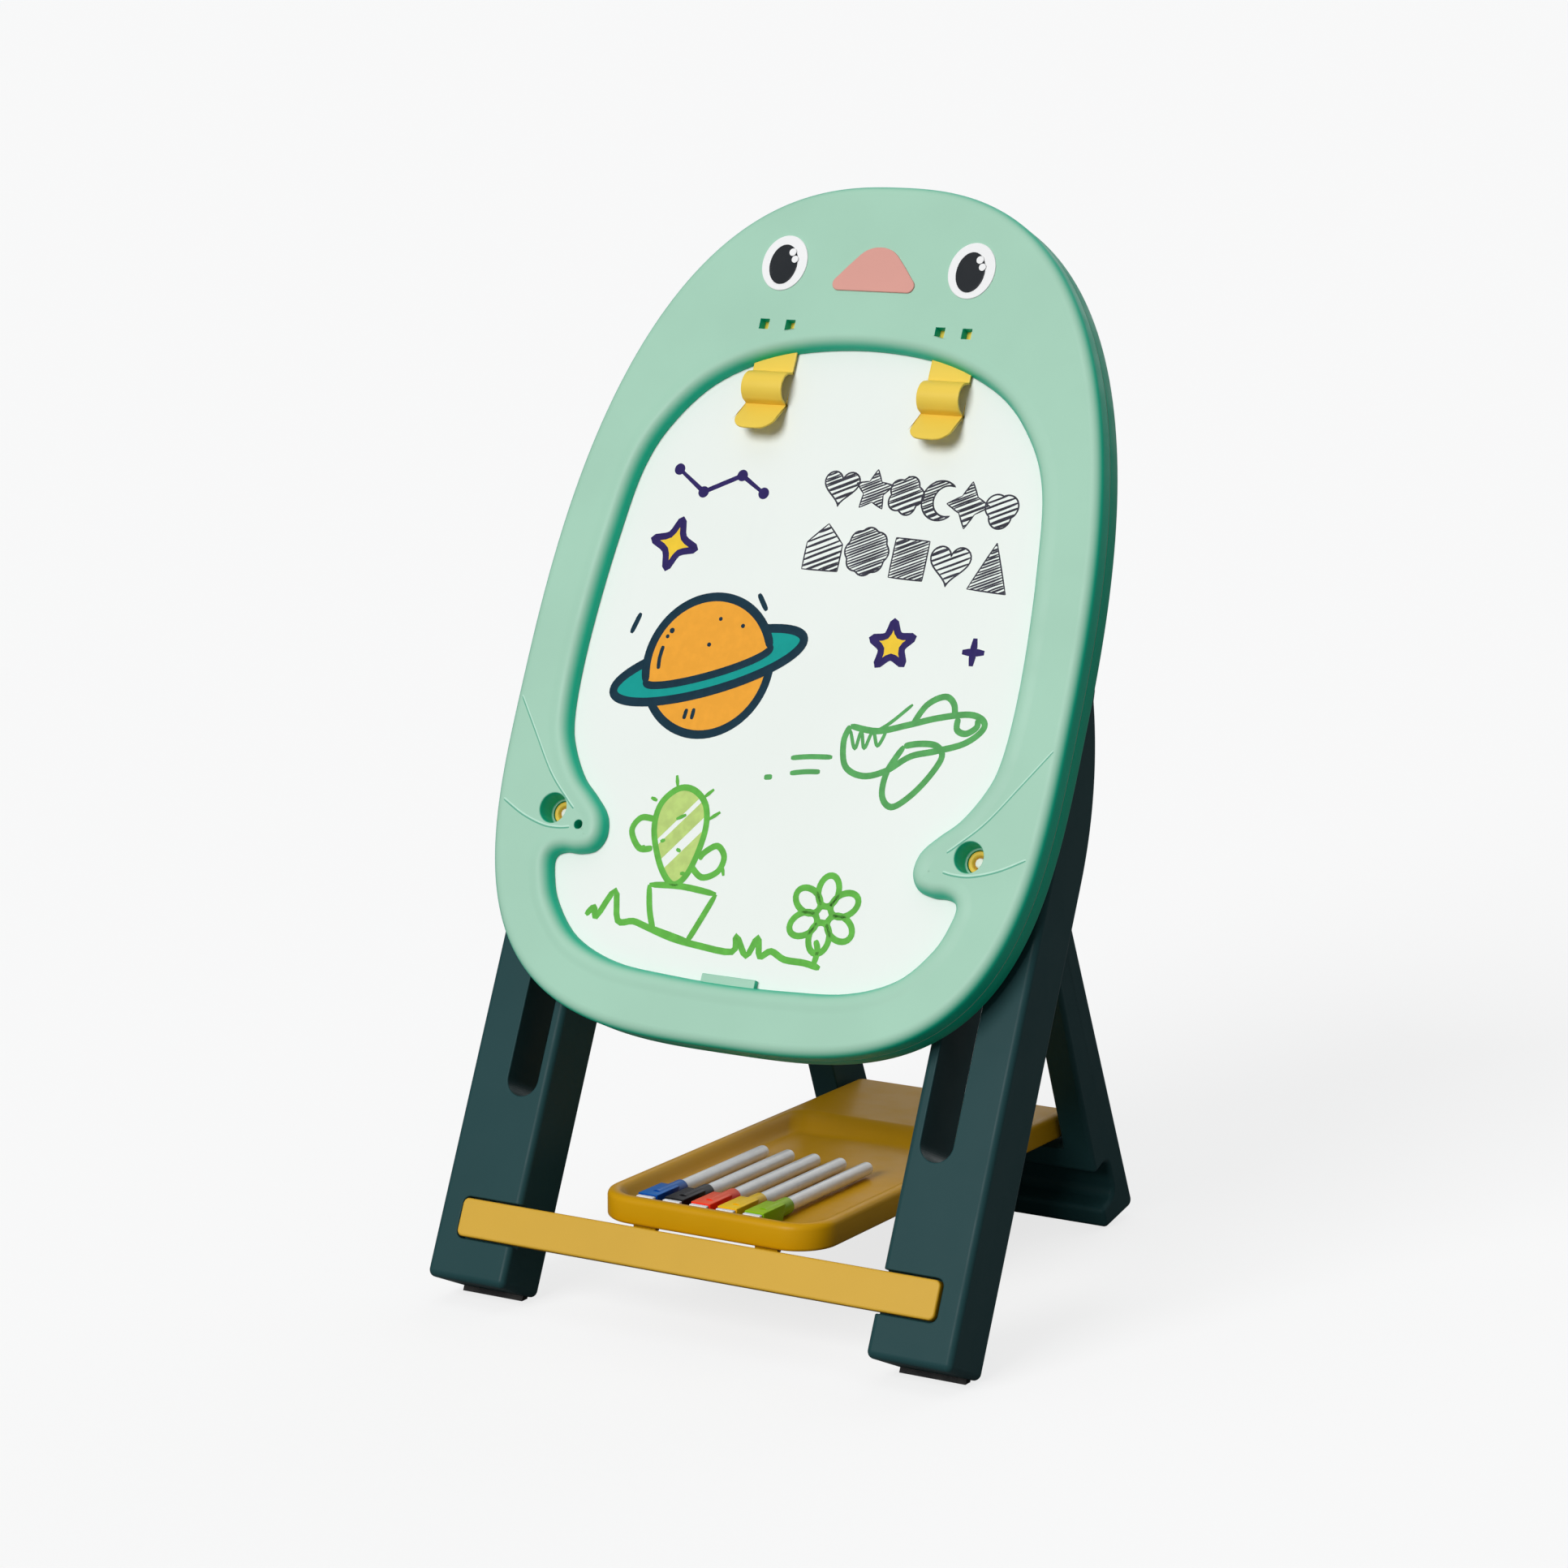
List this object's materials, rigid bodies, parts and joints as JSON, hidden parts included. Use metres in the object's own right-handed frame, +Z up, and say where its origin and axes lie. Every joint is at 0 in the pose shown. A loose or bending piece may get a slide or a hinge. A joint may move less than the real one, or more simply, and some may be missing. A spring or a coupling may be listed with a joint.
{
  "type": "kids easel",
  "caption": "Folding kids easel: a height-adjustable whiteboard in an animal-face frame on leaning slotted legs, with a hinged rear stand, paper clips and a pen tray holding capped markers.",
  "frame": {"origin": "on the floor, under the middle of the easel's overall box", "axes": "+Z up, -Y towards the child who draws, +X to the right of the board as the child sees it"},
  "size_m": [0.492, 0.505, 0.8637],
  "materials": {
    "leg_green": "moulded, satin",
    "board_mint": "moulded, satin",
    "bar_yellow": "moulded, satin",
    "tray_yellow": "moulded, satin",
    "clip_yellow": "moulded, semi-gloss",
    "whiteboard": "dry-wipe sheet, semi-gloss, printed drawings",
    "eye_white": "smooth",
    "eye_dark": "smooth",
    "beak_pink": "moulded, satin",
    "pin_steel": "zinc plated",
    "stud_nylon": "moulded, natural nylon",
    "pad_rubber": "matt",
    "barrel_plastic": "polished",
    "cap_blue": "moulded, semi-gloss",
    "cap_black": "moulded, semi-gloss",
    "cap_red": "moulded, semi-gloss",
    "cap_yellow": "moulded, semi-gloss",
    "cap_green": "moulded, semi-gloss",
    "eraser_felt": "pressed felt"
  },
  "bodies": {
    "front_frame": {"front_leg_left": "leg_green", "front_leg_right": "leg_green", "front_foot_pad_left": "pad_rubber", "front_foot_pad_right": "pad_rubber", "front_crossbar": "bar_yellow", "hinge_bridge": "leg_green"},
    "rear_stand": {"rear_frame": "leg_green", "hinge_pin_left": "pin_steel", "hinge_pin_right": "pin_steel"},
    "pen_tray": {"tray": "tray_yellow"},
    "board": {"board_front_shell": "board_mint", "board_rear_shell": "board_mint", "clamp_nut_left": "clip_yellow", "clamp_nut_right": "clip_yellow", "whiteboard_panel": "whiteboard", "eye_white_left": "eye_white", "eye_white_right": "eye_white", "eye_pupil_left": "eye_dark", "eye_pupil_right": "eye_dark", "beak": "beak_pink"},
    "clamp_left": {"clamp_knob_left": "bar_yellow", "clamp_stud_left": "stud_nylon"},
    "clamp_right": {"clamp_knob_right": "bar_yellow", "clamp_stud_right": "stud_nylon"},
    "clip_left": {"paper_clip_left": "clip_yellow"},
    "clip_right": {"paper_clip_right": "clip_yellow"},
    "marker_cap_blue": {"marker_cap_blue": "cap_blue", "marker_eraser_blue": "eraser_felt"},
    "marker_barrel_blue": {"marker_barrel_blue": "barrel_plastic"},
    "marker_cap_black": {"marker_cap_black": "cap_black", "marker_eraser_black": "eraser_felt"},
    "marker_barrel_black": {"marker_barrel_black": "barrel_plastic"},
    "marker_cap_red": {"marker_cap_red": "cap_red", "marker_eraser_red": "eraser_felt"},
    "marker_barrel_red": {"marker_barrel_red": "barrel_plastic"},
    "marker_cap_yellow": {"marker_cap_yellow": "cap_yellow", "marker_eraser_yellow": "eraser_felt"},
    "marker_barrel_yellow": {"marker_barrel_yellow": "barrel_plastic"},
    "marker_cap_green": {"marker_cap_green": "cap_green", "marker_eraser_green": "eraser_felt"},
    "marker_barrel_green": {"marker_barrel_green": "barrel_plastic"}
  },
  "joints": [
    {"name": "board_height", "type": "slide", "parent": "front_frame", "child": "board", "axis": [0, 0.4023, 0.9155], "range_m": [-0.21, 0.06]},
    {"name": "rear_fold", "type": "hinge", "parent": "front_frame", "child": "rear_stand", "pos_m": [0, 0.00488, 0.52682], "axis": [-1, 0, 0], "range_deg": [0, 44.4]},
    {"name": "tray_swing", "type": "hinge", "parent": "front_frame", "child": "pen_tray", "pos_m": [0, -0.2128, 0.0908], "axis": [1, 0, 0], "range_deg": [0, 64.6]},
    {"name": "clamp_left_turn", "type": "hinge", "parent": "board", "child": "clamp_left", "pos_m": [-0.187, -0.10225, 0.36603], "axis": [0, -0.9155, 0.4023], "continuous": true},
    {"name": "clamp_right_turn", "type": "hinge", "parent": "board", "child": "clamp_right", "pos_m": [0.187, -0.10225, 0.36603], "axis": [0, -0.9155, 0.4023], "continuous": true},
    {"name": "clip_left_flex", "type": "hinge", "parent": "board", "child": "clip_left", "pos_m": [-0.0796, 0.03022, 0.74757], "axis": [-1, 0, 0], "range_deg": [0, 8], "stiffness_Nm_per_rad": 0.5},
    {"name": "clip_right_flex", "type": "hinge", "parent": "board", "child": "clip_right", "pos_m": [0.0796, 0.03022, 0.74757], "axis": [-1, 0, 0], "range_deg": [0, 8], "stiffness_Nm_per_rad": 0.5},
    {"name": "marker_blue_lift", "type": "slide", "parent": "pen_tray", "child": "marker_cap_blue", "axis": [0, 0, 1], "range_m": [0, 0.065]},
    {"name": "marker_blue_pull", "type": "slide", "parent": "marker_cap_blue", "child": "marker_barrel_blue", "axis": [0, 1, 0], "range_m": [0, 0.03]},
    {"name": "marker_black_lift", "type": "slide", "parent": "pen_tray", "child": "marker_cap_black", "axis": [0, 0, 1], "range_m": [0, 0.065]},
    {"name": "marker_black_pull", "type": "slide", "parent": "marker_cap_black", "child": "marker_barrel_black", "axis": [0, 1, 0], "range_m": [0, 0.03]},
    {"name": "marker_red_lift", "type": "slide", "parent": "pen_tray", "child": "marker_cap_red", "axis": [0, 0, 1], "range_m": [0, 0.065]},
    {"name": "marker_red_pull", "type": "slide", "parent": "marker_cap_red", "child": "marker_barrel_red", "axis": [0, 1, 0], "range_m": [0, 0.03]},
    {"name": "marker_yellow_lift", "type": "slide", "parent": "pen_tray", "child": "marker_cap_yellow", "axis": [0, 0, 1], "range_m": [0, 0.065]},
    {"name": "marker_yellow_pull", "type": "slide", "parent": "marker_cap_yellow", "child": "marker_barrel_yellow", "axis": [0, 1, 0], "range_m": [0, 0.03]},
    {"name": "marker_green_lift", "type": "slide", "parent": "pen_tray", "child": "marker_cap_green", "axis": [0, 0, 1], "range_m": [0, 0.065]},
    {"name": "marker_green_pull", "type": "slide", "parent": "marker_cap_green", "child": "marker_barrel_green", "axis": [0, 1, 0], "range_m": [0, 0.03]}
  ],
  "couplings": [
    {"joint": "tray_swing", "follows": "rear_fold", "ratio": 1.4529}
  ]
}
